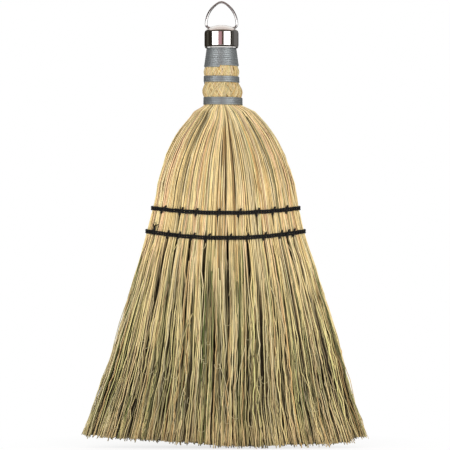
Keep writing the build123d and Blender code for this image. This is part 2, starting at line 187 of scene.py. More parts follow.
# %% World, floor, lamps and cards
ambient_strength = 0.64
lamp_size = 0.9
lamp_distance = 1.1
lamp_energy = 5.2
lamp_turns = (-42, 42)
lamp_height = 0.45
floor_size = 6.0
floor_shadow_share = 0.3
floor_shadow_reach = 0.16
card_columns = 24


def seen_directly(tree):
    """1 for rays from the camera, from mirrors and through glass, and else 0."""
    names = ("Is Camera Ray", "Is Glossy Ray", "Is Transmission Ray")
    camera_ray, mirror_ray, glass_ray = [
        add_node(tree, "ShaderNodeLightPath", output=name) for name in names
    ]
    return camera_ray.highest(mirror_ray).highest(glass_ray)


world = bpy.data.worlds.new("studio")
world.use_nodes = True
bpy.context.scene.world = world
sky = world.node_tree
sky.nodes.clear()
sky_strength = seen_directly(sky) * (1 - ambient_strength) + ambient_strength
sky_sockets = {"Color": (1, 1, 1, 1), "Strength": sky_strength}
add_node(sky, "ShaderNodeBackground", sockets=sky_sockets).show("ShaderNodeOutputWorld")


def glow(name, colour, shadow_share=0.0):
    """A stage material in its own colour, of which a share can take shadows near the broom."""
    made = Finish(name)
    if shadow_share:
        near = made.place((1 / floor_shadow_reach, 1 / floor_shadow_reach, 1))
        ball = made.node("ShaderNodeTexGradient", {"gradient_type": "SPHERICAL"}, {"Vector": near})
        shadow_share = ball * shadow_share
    light = made.node("ShaderNodeEmission", sockets={"Color": colour})
    matt = made.node("ShaderNodeBsdfDiffuse", sockets={"Color": colour})
    part = seen_directly(made.tree) * (1 - shadow_share)
    made.node("ShaderNodeMixShader", sockets={0: part, 1: matt, 2: light}).show()
    return made.material


def deselect():
    bpy.ops.object.select_all(action="DESELECT")


def select_only(*objects):
    """Selects these objects and makes the first one active."""
    deselect()
    for made in objects:
        made.select_set(True)
    bpy.context.view_layer.objects.active = objects[0]


deselect()
bpy.ops.mesh.primitive_plane_add(size=floor_size)
floor = bpy.context.object
floor.name = "floor"
floor.data.materials.append(glow("white_floor", (1, 1, 1, 1), floor_shadow_share))

for turn in lamp_turns:
    way = Vector((math.sin(math.radians(turn)), -math.cos(math.radians(turn)), 0))
    spot = way * lamp_distance + Vector((0, 0, lamp_height))
    aim = Vector((0, 0, picture_middle.z)) - spot
    facing = aim.to_track_quat("-Z", "Y").to_euler()
    bpy.ops.object.light_add(type="AREA", location=spot, rotation=facing)
    lamp = bpy.context.object.data
    lamp.size = lamp_size
    lamp.energy = lamp_energy


def card(name, points, faces, colour):
    """A card that only mirror rays meet, in a colour read off as 0 to 255."""
    mesh = bpy.data.meshes.new(name)
    mesh.from_pydata(points, [], faces)
    mesh.materials.append(glow(name, rgba(*colour)))
    made = bpy.data.objects.new(name, mesh)
    bpy.context.scene.collection.objects.link(made)
    for ray in ("camera", "diffuse", "transmission", "volume_scatter", "shadow"):
        setattr(made, "visible_" + ray, False)


def standing_card(name, first_turn, last_turn, colour, radius=0.6, low=0.0, high=1.0):
    """A curved card standing around the broom. Turn 0 is the camera's side."""
    turns = np.radians(np.linspace(first_turn, last_turn, card_columns + 1))
    rim = [(math.sin(t) * radius, -math.cos(t) * radius) for t in turns]
    points = [(x, y, height) for height in (low, high) for x, y in rim]
    row = card_columns + 1
    faces = [(i, i + 1, row + i + 1, row + i) for i in range(card_columns)]
    card(name, points, faces, colour)


dark_cloth = (46, 41, 35)
sill_cloth = (44, 38, 32)
standing_cards = {
    # name: the turns it stands between and its colour, then its radius, foot and top if they differ
    "right_flag": (61, 74, dark_cloth),
    "right_dusk_flag": (74, 94, (82, 80, 76)),
    "right_grey_flag": (94, 146, (114, 112, 110)),
    "back_flag": (146, 214, dark_cloth, 0.6, 0.0, 0.45),
    "crown_card": (146, 214, (255, 250, 247), 0.6, 0.5),
    "left_back_flag": (214, 241, dark_cloth),
    "left_grey_flag": (241, 264, (74, 71, 64)),
    "left_flag": (264, 294, dark_cloth),
    "rose_card": (-23, 2, (188, 146, 152), 0.58, 0.16, 0.39),
    "brown_card": (2, 14, (84, 66, 58), 0.58, 0.16, 0.39),
    "brow_flag": (-66, 62, (60, 52, 46), 0.57, 0.40, 0.97),
    "sill_flag": (-110, 110, sill_cloth, 0.25, 0.002, 0.215),
    "left_sill_flag": (210, 250, sill_cloth, 0.25, 0.14, 0.215),
    "right_sill_flag": (110, 150, sill_cloth, 0.25, 0.14, 0.215),
}
for name, numbers in standing_cards.items():
    standing_card(name, *numbers)

ceiling_height = 0.8
ceiling_half_width = 0.6
ceiling_cards = {
    # name: its front and back edges in metres, and its colour
    "front_ceiling_card": (-0.44, 0, (156, 142, 132)),
    "back_ceiling_card": (0, 0.5, (238, 226, 222)),
}
for name, (near, far, colour) in ceiling_cards.items():
    corners = [(-1, near), (1, near), (1, far), (-1, far)]
    points = [(side * ceiling_half_width, y, ceiling_height) for side, y in corners]
    card(name, points, [(0, 1, 2, 3)], colour)
print("lamps:", len(lamp_turns), "cards:", len(standing_cards) + len(ceiling_cards))

# %% [markdown]
# ## One straw, modelled once
# A straw is a long thin rod. A cylinder primitive is cut across into even spans, and every strand
# of straw, wire and twine below is a copy of such a rod, bent along its own line. Three sides are
# enough for a straw a millimetre thick, and a few thousand of them stay light.


# %% The rod that every strand copies
def cut_across(heights):
    """Cuts the mesh in hand across at each of some heights."""
    bpy.ops.object.mode_set(mode="EDIT")
    for height in heights:
        bpy.ops.mesh.select_all(action="SELECT")
        bpy.ops.mesh.bisect(plane_co=(0, 0, height), plane_no=(0, 0, 1))
    bpy.ops.object.mode_set(mode="OBJECT")


class Rod:
    """A straight rod one unit long and one unit across, read back from the mesh made by hand."""

    def __init__(self, sides, spans):
        deselect()
        bpy.ops.mesh.primitive_cylinder_add(
            vertices=sides, radius=0.5, depth=1, location=(0, 0, 0.5), calc_uvs=True
        )
        rod = bpy.context.object
        cut_across(cut / spans for cut in range(1, spans))
        mesh = rod.data
        places = np.empty(len(mesh.vertices) * 3)
        mesh.vertices.foreach_get("co", places)
        places = places.reshape(-1, 3)
        self.spans = spans
        self.across = places[:, 0]
        self.through = places[:, 1]
        self.station = np.rint((places[:, 2] + 0.5) * spans).astype(int)
        self.faces = [list(face.vertices) for face in mesh.polygons]
        spots = np.empty(len(mesh.loops) * 2)
        mesh.uv_layers.active.data.foreach_get("uv", spots)
        self.spots = spots.reshape(-1, 2)
        bpy.data.objects.remove(rod)


# %% [markdown]
# ## Bending copies along lines
# `bundle` places one copy of the rod along each line. A line is a list of points, and at each point
# the copy needs three directions: along the line, outward, and sideways between them. Each copy has
# its own column on the UV map and its own colours, kept as a colour attribute on the points. A
# copy's flanks and back are painted darker than its outer edge: painted shade for the shadow between
# the straws of a packed brush.

# %% Bundles of strands
own_map = "OFBake"
map_rows = 4
column_margin = 0.1
row_margin = 0.02
side_foot, side_reach = 0.06, 0.92
end_reach = 0.05
# Painted shade: the share by which a straw's flanks and back are darkened in its colour.
painted_flank_shade = 0.36
to_front = (0, -1, 0)


def unit(vectors):
    return vectors / np.maximum(np.linalg.norm(vectors, axis=-1, keepdims=True), 1e-12)


def xyz(x, y, z):
    """Points or directions from their three parts, any of which may be plain numbers."""
    return np.stack(np.broadcast_arrays(x, y, z), axis=-1)


def walk(points):
    """Lengths walked along a line of straight runs, up to each of its points."""
    return np.concatenate([[0], np.cumsum(np.linalg.norm(np.diff(points, axis=0), axis=1))])


def placed_copies(rod, lines, outward, widths, depths):
    """Points of all copies. Lines are (stations, strands, 3), and the others may be plainer."""
    along = unit(np.gradient(lines, axis=0))
    side = unit(np.cross(along, outward))
    out = np.cross(side, along)
    station = rod.station
    widths, depths = (np.broadcast_to(size, lines.shape[:2])[station] for size in (widths, depths))
    points = lines[station].copy()
    points += side[station] * (rod.across[:, None] * widths)[..., None]
    points += out[station] * (rod.through[:, None] * depths)[..., None]
    return points.transpose(1, 0, 2)


def column_map(rod, count):
    """A UV map with one narrow column for each copy, in a few rows, with the rod's ends at its foot."""
    rows = min(map_rows, count)
    columns = math.ceil(count / rows)
    number = np.arange(count)
    low_u = (number % columns) / columns
    low_v = (number // columns) / rows
    u, v = rod.spots.T
    up = np.where(v >= 0.5, side_foot + (v - 0.5) * 2 * side_reach, v * 2 * end_reach)
    spots = np.empty((count, len(u), 2))
    spots[:, :, 0] = low_u[:, None] + (column_margin + (1 - 2 * column_margin) * u) / columns
    spots[:, :, 1] = low_v[:, None] + (row_margin + (1 - 2 * row_margin) * up) / rows
    return spots


def bundle(name, rod, lines, outward, widths, depths, colours=None):
    """One object with a bent copy of the rod along each line."""
    points = placed_copies(rod, lines, outward, widths, depths)
    count, per_copy = points.shape[:2]
    faces = [
        [corner + copy * per_copy for corner in face] for copy in range(count) for face in rod.faces
    ]
    mesh = bpy.data.meshes.new(name)
    mesh.from_pydata(points.reshape(-1, 3).tolist(), [], faces)
    spots = mesh.uv_layers.new(name=own_map)
    spots.data.foreach_set("uv", column_map(rod, count).ravel())
    if colours is not None:
        # The colour attribute holds each straw's tint together with its painted shade.
        tints = mesh.color_attributes.new(name="straw_colour", type="FLOAT_COLOR", domain="POINT")
        shades = np.ones((count, per_copy, 4))
        # Painted shade: full colour on the outer edge, darker on the flanks and darkest at the back.
        painted_ridge_shading = 1 - painted_flank_shade * (1 - 2 * rod.through)
        colours = np.broadcast_to(colours, lines.shape)[rod.station]
        shades[:, :, :3] = colours.transpose(1, 0, 2) * painted_ridge_shading[:, None]
        tints.data.foreach_set("color", shades.ravel())
    mesh.shade_smooth()
    made = bpy.data.objects.new(name, mesh)
    bpy.context.scene.collection.objects.link(made)
    triangles = sum(len(face) - 2 for face in rod.faces) * count
    print(name, "strands", count, "triangles", triangles)
    return made


def dress(made, material, body="broom", replaces=None):
    """The last steps for a piece: its finish, slot, the body it rides on and the node it replaces."""
    made.data.materials.append(material)
    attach(made, body)
    if replaces:
        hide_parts(replaces)
    return made


def through(places, values, at):
    """A smooth curve through values at falling places, read at other places."""
    places = np.asarray(places, float)
    values = np.asarray(values, float)
    if values.ndim == 1:
        values = values[:, None]
    slopes = np.gradient(values, places, axis=0)
    at = np.clip(at, places[-1], places[0])
    span = np.clip(np.searchsorted(-places, -at, side="right") - 1, 0, len(places) - 2)
    wide = places[span + 1] - places[span]
    t = (at - places[span]) / wide
    strand = np.arange(at.shape[-1]) if values.shape[1] > 1 else np.zeros(at.shape[-1], int)
    before = values[span, strand]
    after = values[span + 1, strand]
    slope_before = slopes[span, strand] * wide
    slope_after = slopes[span + 1, strand] * wide
    return (
        before * (1 + 2 * t) * (1 - t) ** 2
        + slope_before * t * (1 - t) ** 2
        + after * t**2 * (3 - 2 * t)
        - slope_after * t**2 * (1 - t)
    )


def eased(value, start, end):
    """0 before start, 1 past end, and a soft step between them."""
    t = np.clip((value - start) / (end - start), 0, 1)
    return t * t * (3 - 2 * t)


# %% [markdown]
# ## Where the straws lie
# The brush is round at the neck and is sewn into a flat pad at the two rows. Below them it fans out
# to the trimmed tips. A few levels give its half width, half depth and how square its section is.
# A straw keeps its place round the section from neck to tip, so the straws fan out by themselves.
# The brush's middle line starts off to the left at the neck.

# %% The brush's section at each level
levels = np.array([
    # height, half width, half depth, squareness, and how far its middle stands to the right
    (237.0, 12.2, 12.2, 2.0, -1.4),
    (233.4, 12.9, 12.6, 2.0, -1.4),
    (231.6, 17.2, 13.4, 2.0, -0.9),
    (223.7, 25.9, 14.6, 2.2, 0.3),
    (216.8, 31.4, 15.0, 2.4, 0.3),
    (203.2, 39.3, 14.6, 2.7, 0.4),
    (182.7, 46.5, 13.2, 2.9, 0.6),
    (163.5, 49.9, 11.4, 3.0, 0.5),
    (155.3, 52.0, 12.0, 3.0, 0.4),
    (147.7, 53.6, 11.4, 3.0, 0.4),
    (128.0, 59.9, 13.4, 3.0, 0.5),
    (100.0, 68.3, 14.4, 2.9, 0.7),
    (60.0, 79.5, 15.4, 2.7, 0.5),
    (32.0, 88.6, 16.0, 2.6, -0.5),
    (0.0, 99.4, 16.3, 2.6, -0.6),
])
level_heights = levels[:, 0] * MM
neck_middle = levels[0, 4] * MM
upper_row = 163.5 * MM
lower_row = 147.7 * MM
upper_stitches = np.array((-0.876, -0.627, -0.407, -0.111, 0.172, 0.423, 0.637, 0.826))
lower_stitches = np.array((
    -0.909, -0.742, -0.607, -0.442, -0.256, 0.024, 0.272, 0.479, 0.688, 0.784, 0.858
))


def curve(column, scale=MM):
    """A smooth curve through one column of the levels, to be read at any heights."""
    return lambda height: through(level_heights, levels[:, column] * scale, height)


def at_one_height(height, *curves):
    """Plain numbers read from curves at one height."""
    return [float(line(np.array([[height]]))[0, 0]) for line in curves]


half_width = curve(1)
half_depth = curve(2)
squareness = curve(3, 1)
middle = curve(4)


def around(turn, power):
    """A point on a rounded section one unit across, from a circle towards a square."""
    x = np.sign(np.cos(turn)) * np.abs(np.cos(turn)) ** (2 / power)
    y = np.sign(np.sin(turn)) * np.abs(np.sin(turn)) ** (2 / power)
    return x, y


def even_turns(count, power, wide, deep):
    """Turns that lie evenly along the section's edge."""
    fine = np.linspace(0, 2 * math.pi, 4001)
    x, y = around(fine, power)
    length = walk(np.stack([x * wide, y * deep], axis=-1))
    return np.interp(np.arange(count) * length[-1] / count, length, fine)


def parted(share, height, stitches, row, above, below, gap_share, reach_share):
    """Sideways shares by which straws make way for the stitches of one row, fading up and down."""
    strength = eased(height, row + above, row) * eased(height, row - below, row)
    apart = share[..., None] - stitches
    push = np.sign(apart) * np.exp(-((apart / reach_share) ** 2))
    return strength * push.sum(-1) * gap_share


partings = (
    # stitches, row, how far it reaches above and below, and its width and reach as shares
    (upper_stitches, upper_row, 6 * MM, 22 * MM, 0.016, 0.035),
    (lower_stitches, lower_row, 2 * MM, 80 * MM, 0.019, 0.035),
)

# %% [markdown]
# ## Colours of dry broomcorn
# Each straw gets a tint from a small palette: pale yellow, tan, rose and a few green or brown ones.
# Towards the tips it turns greyer and greener. The straws deep inside the brush are darker: painted
# shade for the shadow among them. Straws at the far sides get painted light, and some straws towards
# the neck get painted shade. The tints are stored on the points, so they follow the straws.

# %% Straw colours
dome_tints = linear(
    (240, 220, 172), (232, 208, 152), (222, 196, 138), (232, 196, 152), (216, 204, 150), (190, 156, 104)
)
dome_odds = (0.22, 0.28, 0.20, 0.12, 0.12, 0.06)
skirt_tints = linear(
    (238, 223, 174), (228, 211, 152), (210, 194, 136), (222, 196, 146), (184, 177, 118), (182, 152, 102)
)
skirt_odds = (0.26, 0.28, 0.18, 0.12, 0.08, 0.08)
tip_tint = linear((246, 212, 158))[0]
# The dark colour that straws deep in the brush are blended towards, as painted shade.
painted_shade_tint = linear((54, 42, 22))[0]
green_tint = linear((100, 118, 54))[0]
straw_light, light_spread = 1.53, 0.3
brightest, skirt_dimming = 1.02, 0.04
# Painted light: how much lighter the straws at the brush's far sides are made.
painted_edge_light, edge_power = 0.3, 6
dull_odds, dull_shares = 0.17, (0.4, 0.75)
# Painted shade: the odds and strengths for darkening straws towards the neck, under the wire.
neck_painted_shade_odds, neck_painted_shade_shares = 0.42, (0.35, 0.65)
neck_zone, skirt_zone = (188 * MM, 222 * MM), (165 * MM, 60 * MM)
green_shares = (-0.57, -0.15, 0.12)
green_spread_share = 0.024
green_odds, near_green_odds, green_strengths = 0.07, 0.8, (0.35, 0.95)
green_zone = (175 * MM, 110 * MM)
brown_strengths, brown_zone = (0, 0.85), (30 * MM, 4 * MM)
rng = np.random.default_rng(12)


def blended(first, second, share):
    return first * (1 - share) + second * share


def painted_shade_share(height, inset, drop):
    """How far painted shade darkens a straw below the brush's face: sooner in the skirt, less at the
    tips.
    """
    low = eased(height, 60 * MM, 15 * MM)
    depth = (inset / MM - 0.75 + 0.4 * drop) / (3.9 - 1.3 * drop + 1.2 * low)
    return eased(depth, 0, 1) * (0.8 + 0.18 * eased(height, 2 * MM, 26 * MM))


def straw_tints_with_painted_shading(height, inset, share):
    """Tint of each straw at each of its stations, from its palette and its height, with painted shade by
    its depth and towards the neck, and painted light at the sides.
    """
    count = height.shape[1]
    dome = dome_tints[rng.choice(len(dome_tints), count, p=dome_odds)]
    skirt = skirt_tints[rng.choice(len(skirt_tints), count, p=skirt_odds)]
    light = rng.normal(straw_light, light_spread, count)
    light = np.where(rng.random(count) < dull_odds, light * rng.uniform(*dull_shares, count), light)
    # Painted shade: some straws are darkened towards the neck, for the shade between them under the
    # wire.
    shaded = (rng.random(count) < neck_painted_shade_odds) * rng.uniform(*neck_painted_shade_shares, count)
    light = light * (1 - shaded * eased(height, *neck_zone))
    # Painted light: straws at the far sides are made lighter, where the brush turns from the lamps.
    light = light * (1 + painted_edge_light * np.abs(share) ** edge_power)
    drop = eased(height, *skirt_zone)[..., None]
    tint = blended(dome, skirt, drop) * light[..., None]
    nearness = np.exp(-(((share[-1][:, None] - green_shares) / green_spread_share) ** 2)).max(-1)
    chosen = rng.random(count) < green_odds + near_green_odds * nearness
    green = chosen * rng.uniform(*green_strengths, count) * eased(height, *green_zone)
    tint = blended(tint, green_tint, green[..., None])
    browned = rng.uniform(*brown_strengths, count) * eased(height, *brown_zone)
    tint = blended(tint, tip_tint, browned[..., None])
    tint = tint * np.minimum(1, (brightest - skirt_dimming * drop) / tint.max(-1, keepdims=True))
    # Painted shade: straws deep below the brush's face are blended towards a dark colour.
    return blended(tint, painted_shade_tint, painted_shade_share(height, inset, drop[..., 0])[..., None])


# %% [markdown]
# ## The straws themselves
# The outer straws are the hurl: long, smooth and laid side by side. They are drawn closer together
# between the stitches, and each stitch leaves a dark parting below it. Shorter branches come out
# between them under the lower row, where the real stalks split, and fill the skirt. They crinkle
# towards their tips. Neighbours are sunk together into valleys and narrow grooves, which gives the
# brush its dark lines: real shadow in the hollows, deepened by painted shade on the sunk straws. The
# core inside only has to be full, and painted shade makes it dark.

# %% Lines of straws
tip_places = (-0.99, -0.9, -0.82, -0.6, -0.43, -0.22, -0.02, 0.25, 0.46, 0.68, 0.88, 0.92, 0.97)
tip_heights = (8.2, 7.2, 6.1, 4.9, 3.6, 2.6, 0.5, 0.3, 1.4, 1.9, 2.7, 6.0, 7.0)
tip_power = 2.8
front_tip_lift = 0.9 * MM
least_tip_height = 0.12 * MM
ragged_shape, ragged_scale, ragged_most = 1.1, 0.8 * MM, 6 * MM
whisker_odds, whisker_lengths = 0.07, (0.4, 1.9)
straw_root = 237 * MM
station_places = (0, 0.25, 0.45, 1)
station_depths = (0, 0.12, 0.36, 1)


def tips(share, depth_share):
    """Height of each straw's trimmed end: a shallow arc, with some cut short."""
    arc = np.interp(share, tip_places, tip_heights) * MM + front_tip_lift * np.maximum(-depth_share, 0)
    ragged = np.minimum(rng.gamma(ragged_shape, ragged_scale, share.shape), ragged_most)
    whisker = (rng.random(share.shape) < whisker_odds) * rng.uniform(*whisker_lengths, share.shape) * MM
    return np.maximum(arc + np.where(whisker > 0, -whisker, ragged), least_tip_height)


wide_clumps = rng.normal(0, 0.009, 60)
narrow_clumps = rng.normal(0, 0.010, 190)
dome_clumps = rng.normal(0, 0.003, 90)
valleys = rng.normal(0, 1, 300)
grooves = rng.normal(0, 1, 260)
valley_start, valley_depth, valley_side_fade = 0.3, 2.2 * MM, 0.75
groove_start, groove_depth = 0.7, 2.9 * MM
hollow_limit = 0.9
stray_odds, stray_wander = 0.08, 2.4
share_limit = 1.01
held_wave = 0.12


def clumped(turn, knots):
    """A value that neighbouring straws of every layer share, read at each straw's turn."""
    places = np.linspace(0, 2 * math.pi, len(knots) + 1)
    return np.interp(turn % (2 * math.pi), places, np.append(knots, knots[0]))


def hollows(turn, knots, start, depth):
    """How far straws are sunk in. Knots less the mean of their neighbours leave no wide hollow."""
    narrow = knots - (np.roll(knots, 1) + np.roll(knots, -1)) / 2
    return np.clip(clumped(turn, narrow) - start, 0, hollow_limit) * depth


def waves(height, count, size):
    """A smooth meander of its own for each straw."""
    length = rng.uniform(16, 44, count) * MM
    start = rng.uniform(0, 2 * math.pi, count)
    return rng.normal(0, size, count) * np.sin(height / length * 2 * math.pi + start)


def straw_lines(turn, insets, roots, spans, reach, even, wander, crinkle, wave):
    """Middle lines of straws that keep their turn round the section, and what is known along them."""
    tip_share, tip_depth_share = around(turn, tip_power)
    ends = tips(tip_share, tip_depth_share)
    t = np.linspace(0, 1, spans + 1)
    sunk = t if even else np.interp(t, station_places, station_depths)
    height = roots + (ends - roots) * sunk[:, None]
    x, y = around(turn, squareness(height))
    skirt = eased(height, lower_row + 4 * MM, 60 * MM)
    dome = eased(height, 232 * MM, 205 * MM) * eased(height, upper_row, upper_row + 20 * MM)
    loose = eased(height, 140 * MM, 40 * MM)
    sunken = hollows(turn, valleys, valley_start, valley_depth) * (1 - valley_side_fade * tip_share**4)
    inset = through(*insets, height) + sunken * eased(height, lower_row, 100 * MM)
    grooved = hollows(turn, grooves, groove_start, groove_depth) * eased(height, 240 * MM, 230 * MM)
    inset = inset + grooved * eased(height, upper_row, upper_row + 9 * MM)
    drift = (clumped(turn, wide_clumps) + clumped(turn, narrow_clumps)) * skirt
    drift = drift + clumped(turn, dome_clumps) * dome
    stray = np.where(rng.random(turn.shape) < stray_odds, stray_wander, 1.0)
    share = x + (drift + rng.normal(0, wander, turn.shape) * stray * skirt)
    for parting in partings:
        share = share + parted(share, height, *parting)
    share = np.clip(share, -share_limit, share_limit)
    shaken = rng.normal(0, 1, (2, *height.shape)) * crinkle * loose
    shaken += waves(height, (2, 1, len(turn)), wave) * (held_wave + (1 - held_wave) * loose)
    wide = half_width(height) - inset
    deep = half_depth(height) - inset
    across = middle(height) + (share * wide + shaken[0]) * reach
    lines = xyz(across, (y * deep + shaken[1]) * reach, height)
    return lines, unit(xyz(x / wide, y / deep, 0)), height, inset, share


def inset_levels(count, *ranges):
    """Random depths below the brush's face at the named levels, in millimetres."""
    heights = np.array((237, 205, 180, 163.5, 155, 147.7, 125, 90, 0)) * MM
    depths = [rng.uniform(low, high, count) * MM for low, high in ranges]
    return heights, np.array(depths)


# %% Straw finish
def straw_finish(name):
    """Dry straw: its tint from the points, painted shade included, fine streaks along it, and a dull
    waxy skin.
    """
    made = Finish(name)
    tint = made.node("ShaderNodeAttribute", {"attribute_name": "straw_colour"}, output="Color")
    streaks = made.noise((2600, 2600, 90), detail=3.0)
    blotches = made.noise((420, 420, 120))
    light = streaks * 0.78 + blotches * 0.4 + 0.49
    return made.surface(
        Base_Color=made.lit(tint, light),
        Roughness=streaks * 0.3 + 0.42,
        Specular_IOR_Level=0.35,
        Normal=made.bump(streaks, 0.12 * MM, 0.35),
    )


brush_straw = straw_finish("broomcorn_straw")

# %% Growing one kind of straw
# Painted shade: core straws are darkened as if they lay this much deeper.
core_painted_shade_depth = 12 * MM


def grow(pieces, rod, turn, insets, roots, habit, width, spread, taper, depth_share, reach=1.0):
    """Grows one kind of straw. Each piece takes the straws of its mask, and may replace a node.

    A habit is whether stations are even, and how far straws wander, crinkle and wave.
    """
    lines, out, height, inset, share = straw_lines(turn, insets, roots, rod.spans, reach, *habit)
    widths = width * rng.uniform(*spread, len(turn)) * through(*taper, height)
    # The tints carry painted shade by depth, and core straws count as deeper still.
    tints = straw_tints_with_painted_shading(height, inset + (1 - reach) * core_painted_shade_depth, share)
    for name, (mask, node) in pieces.items():
        wide = widths[:, mask]
        made = bundle(name, rod, lines[:, mask], out[:, mask], wide, wide * depth_share, tints[:, mask])
        dress(made, brush_straw, replaces=node)


# %% The hurl
hurl_layers = 5
hurl_per_layer = 235
hurl_count = hurl_layers * hurl_per_layer
layer_inset = 0.5
side_share = 0.9
hurl_habit = (False, 0.008, 0.2 * MM, 0.38 * MM)
hurl_taper = (237 * MM, 205 * MM, 120 * MM, 0), (0.8, 1.0, 1.05, 0.72)

row_power, row_wide, row_deep = at_one_height(lower_row, squareness, half_width, half_depth)
hurl_turn = np.concatenate([
    even_turns(hurl_per_layer, row_power, row_wide, row_deep) + rng.normal(0, 0.004, hurl_per_layer)
    for _ in range(hurl_layers)
]) % (2 * math.pi)
hurl_insets = inset_levels(
    hurl_count, (0, 2), (0, 2), (0, 1.8), (0.3, 0.8), (0, 1.4), (0.3, 0.9), (0, 2.6), (0, 4.4), (0, 5.4)
)
hurl_insets[1][1:8] += np.repeat(np.arange(hurl_layers) * layer_inset, hurl_per_layer) * MM
x, y = around(hurl_turn, row_power)
bands = {
    "front_hurl": (np.abs(x) < side_share) & (y < 0),
    "back_hurl": (np.abs(x) < side_share) & (y >= 0),
    "left_side_corn": x <= -side_share,
    "right_side_corn": x >= side_share,
}
hurl_pieces = {node + "_straws": (mask, node) for node, mask in bands.items()}
grow(
    hurl_pieces, Rod(3, 28), hurl_turn, hurl_insets, straw_root, hurl_habit,
    width=0.96 * MM, spread=(0.75, 1.3), taper=hurl_taper, depth_share=0.8,
)

# %% Branches that fill the skirt
branch_count = 1750
branch_habit = (True, 0.014, 0.3 * MM, 0.5 * MM)
branch_taper = (237 * MM, 120 * MM, 60 * MM, 0), (0.9, 1.0, 1.0, 0.75)

branch_turn = even_turns(branch_count, 2.6, 96, 17)
branch_turn = (branch_turn + rng.normal(0, 0.01, branch_count)) % (2 * math.pi)
branch_roots = rng.uniform(112, 158, branch_count) * MM
branch_insets = inset_levels(
    branch_count, (3, 6), (3, 6), (3, 6), (3, 5), (3, 5), (2.4, 4), (0.8, 4.2), (0.4, 5.2), (0.1, 6)
)
front = np.sin(branch_turn) < 0
branch_pieces = {"front_branch_straws": (front, None), "back_branch_straws": (~front, None)}
grow(
    branch_pieces, Rod(3, 22), branch_turn, branch_insets, branch_roots, branch_habit,
    width=0.88 * MM, spread=(0.6, 1.35), taper=branch_taper, depth_share=0.85,
)

# %% The core
core_count = 2000
core_habit = (False, 0.02, 0.3 * MM, 0.5 * MM)
core_taper = (straw_root, 0), (1, 1)

core_turn = rng.uniform(0, 2 * math.pi, core_count)
core_reach = np.sqrt(rng.uniform(0, 0.8, core_count))
core_root = np.where(rng.random(core_count) < 0.45, straw_root, rng.uniform(120, 170, core_count) * MM)
core_insets = inset_levels(core_count, *[(1.6, 4)] * 9)
core_pieces = {"inside_straws": (slice(None), "inside_corn")}
grow(
    core_pieces, Rod(3, 12), core_turn, core_insets, core_root, core_habit,
    width=1.0 * MM, spread=(0.7, 1.3), taper=core_taper, depth_share=0.9, reach=core_reach,
)

# %% [markdown]
# ## Loose straws and curls
# A used broom is never quite tidy. A few straws lie across the others under the lower row, and fine
# fibres have split off near the tips and curled up. Both are copies of the thin rods, laid on the face.

# %% Straws that lie across the others
stray_runs = (
    # where each starts and ends on the front, across and up in millimetres, and how far it bows
    (-30.2, 142.0, -37.5, 126.0, -1.3), (-13.0, 139.4, -16.4, 134.2, 0.9), (4.8, 126.0, 2.6, 104.0, 1.1),
    (-22.0, 92.0, -31.0, 60.0, -1.6), (31.0, 110.0, 40.5, 78.0, 1.4), (-56.0, 66.0, -60.5, 34.0, 1.2),
    (14.0, 70.0, 9.0, 36.0, -1.4), (52.0, 52.0, 62.0, 22.0, 1.5), (-4.0, 58.0, 3.0, 24.0, 1.7),
)
stray_width = 0.62 * MM
stray_rod = Rod(3, 12)


def face_depth(across, height):
    """How far the brush's face lies from its middle plane, at places across and up."""
    reach = np.clip(np.abs(across - middle(height)) / half_width(height), 0, 0.999)
    power = squareness(height)
    return half_depth(height) * (1 - reach**power) ** (1 / power)


def lay_on_face(name, rod, across, height, side, raised, width, thinning, depth_share, tints):
    """Straws on the brush's front (side -1) or back (side 1), each thinner towards its end."""
    lines = xyz(across, side * (face_depth(across, height) + raised), height)
    widths = width * (1 - thinning * np.linspace(0, 1, rod.spans + 1)[:, None])
    made = bundle(name, rod, lines, xyz(0, side, 0), widths, widths * depth_share, tints)
    dress(made, brush_straw)


runs = np.array(stray_runs) * MM
t = np.linspace(0, 1, stray_rod.spans + 1)[:, None]
across = runs[:, 0] + (runs[:, 2] - runs[:, 0]) * t + runs[:, 4] * np.sin(math.pi * t)
height = runs[:, 1] + (runs[:, 3] - runs[:, 1]) * t
raised = (0.1 + 0.6 * np.sin(math.pi * t)) * MM
tints = skirt_tints[rng.integers(0, 2, len(runs))] * 1.05
lay_on_face("stray_straws", stray_rod, across, height, -1, raised, stray_width, 0.45, 0.8, tints)

# %% Curled fibres near the tips
curl_count = 110
curl_width = 0.36 * MM
curl_rod = Rod(3, 10)
side = np.where(rng.random(curl_count) < 0.5, -1, 1)
foot = (8 + 95 * rng.beta(1.1, 1.9, curl_count)) * MM
start = rng.uniform(-0.88, 0.88, curl_count) * half_width(foot[None])[0]
length = rng.uniform(3.5, 9, curl_count) * MM
heading = rng.normal(-math.pi / 2, 0.7, curl_count)
bending = rng.uniform(1.2, 4.6, curl_count) * rng.choice((-1, 1), curl_count)
t = np.linspace(0, 1, curl_rod.spans + 1)[:, None]
angle = heading + bending * t**1.4
step = length / curl_rod.spans
across = start + np.cumsum(np.cos(angle) * step, axis=0)
height = np.maximum(foot + np.cumsum(np.sin(angle) * step, axis=0), 1.5 * MM)
raised = (0.05 + 0.75 * np.sin(math.pi * t) ** 2) * MM
tints = np.where(rng.random(curl_count)[:, None] < 0.3, tip_tint * 0.45, skirt_tints[0])
lay_on_face("curled_fibres", curl_rod, across, height, side, raised, curl_width, 0.4, 1.0, tints)

# %% [markdown]
# ## The handle's stalks
# Between the wire bands the stalk ends swell out in two bulges. A turned core fills them, and flat
# stalks are laid over it at a slant, some across others, with their ends under the wire.

# %% Handle stalks
lower_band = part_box("lower_wire_band")
middle_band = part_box("middle_wire_band")
upper_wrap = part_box("upper_wire_wrap")
cap_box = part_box("cap")
handle_middle = -2.4 * MM
stalk_rod = Rod(6, 8)
stalk_width = 1.05 * MM
stalk_depth = 0.6 * MM
tuck = 1.2 * MM


